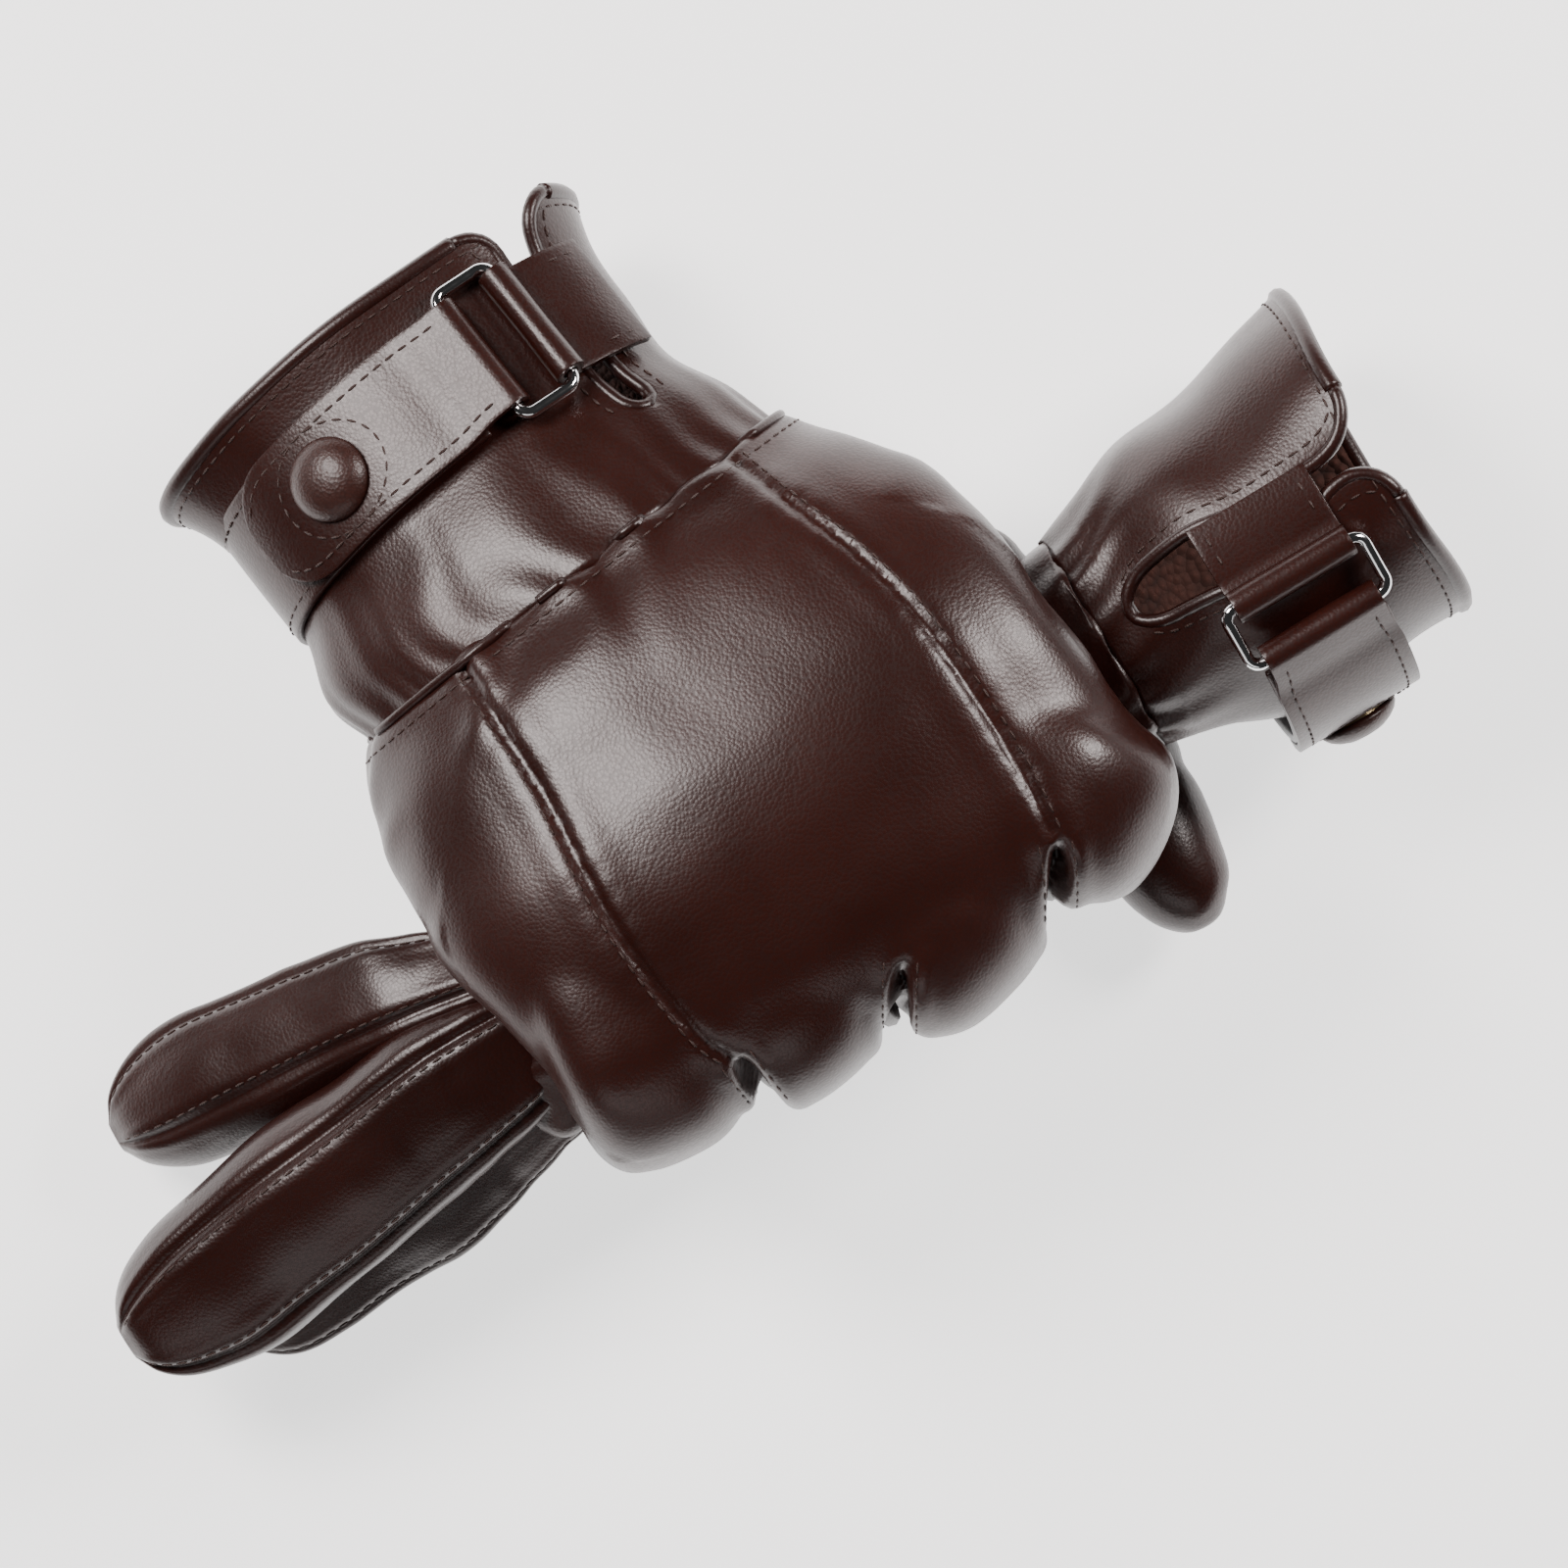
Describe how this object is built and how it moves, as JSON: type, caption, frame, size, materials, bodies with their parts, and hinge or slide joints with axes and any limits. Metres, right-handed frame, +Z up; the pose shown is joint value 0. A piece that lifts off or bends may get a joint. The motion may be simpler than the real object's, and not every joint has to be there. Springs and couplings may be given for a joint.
{
  "type": "touchscreen gloves",
  "caption": "Pair of lined leather gloves with a buckled wrist strap and snap, one glove closed in a fist holding the other.",
  "frame": {"origin": "middle of the pair's bounding box at the height of the surface it rests on", "axes": "+X from the held glove's fingertips to its cuff, +Y from the fist's knuckles to its cuff, +Z up"},
  "size_m": [0.2472, 0.1618, 0.0796],
  "materials": {
    "leather": "smooth grain, dark red-brown",
    "touch_leather": "smooth grain, conductive",
    "binding_leather": "thin binding",
    "plush": "short plush",
    "lining": "knitted lining",
    "elastic": "covered elastic",
    "chrome": "polished",
    "snap_metal": "satin",
    "snap_cap": "fine wrinkle, tonal brown"
  },
  "bodies": {
    "gloves": {"left_back_panel": "leather", "left_cuff_back": "leather", "left_cuff_lining": "plush", "left_cuff_palm": "leather", "left_finger_lining": "lining", "left_fourchettes": "leather", "left_hand_lining": "lining", "left_hem_binding": "binding_leather", "left_index_finger": "leather", "left_index_touch_tip": "touch_leather", "left_little_finger": "leather", "left_middle_finger": "leather", "left_palm_panel": "leather", "left_ring_finger": "leather", "left_ring_tab": "leather", "left_snap_stud": "snap_metal", "left_strap_base": "leather", "left_thumb": "leather", "left_thumb_touch_tip": "touch_leather", "left_vent_binding": "binding_leather", "left_wrist_elastic": "elastic", "right_back_panel": "leather", "right_cuff_back": "leather", "right_cuff_lining": "plush", "right_cuff_palm": "leather", "right_finger_lining": "lining", "right_fourchettes": "leather", "right_hand_lining": "lining", "right_hem_binding": "binding_leather", "right_index_finger": "leather", "right_index_side_panel": "leather", "right_index_touch_tip": "touch_leather", "right_little_finger": "leather", "right_little_side_panel": "leather", "right_middle_finger": "leather", "right_palm_panel": "leather", "right_ring_finger": "leather", "right_ring_tab": "leather", "right_snap_stud": "snap_metal", "right_strap_base": "leather", "right_thumb": "leather", "right_thumb_touch_tip": "touch_leather", "right_vent_binding": "binding_leather", "right_wrist_elastic": "elastic"},
    "right_ring": {"right_strap_ring": "chrome"},
    "right_tongue": {"right_strap_tongue": "leather", "right_snap_cap": "snap_cap", "right_snap_socket": "snap_metal"},
    "left_ring": {"left_strap_ring": "chrome"},
    "left_tongue": {"left_strap_tongue": "leather", "left_snap_cap": "snap_cap", "left_snap_socket": "snap_metal"}
  },
  "joints": [
    {"name": "right_ring_lift", "type": "hinge", "parent": "gloves", "child": "right_ring", "pos_m": [0.0291, 0.0585, 0.04906], "axis": [0, 0.9659, -0.2588], "range_deg": [0, 12]},
    {"name": "right_tongue_open", "type": "hinge", "parent": "right_ring", "child": "right_tongue", "pos_m": [0.01907, 0.05921, 0.05169], "axis": [0, 0.9659, -0.2588], "range_deg": [0, 110]},
    {"name": "left_ring_lift", "type": "hinge", "parent": "gloves", "child": "left_ring", "pos_m": [0.09738, -0.04716, 0.06358], "axis": [-0.9919, 0.1271, 0], "range_deg": [0, 12]},
    {"name": "left_tongue_open", "type": "hinge", "parent": "left_ring", "child": "left_tongue", "pos_m": [0.09615, -0.05679, 0.05984], "axis": [-0.9919, 0.1271, 0], "range_deg": [0, 110]}
  ]
}
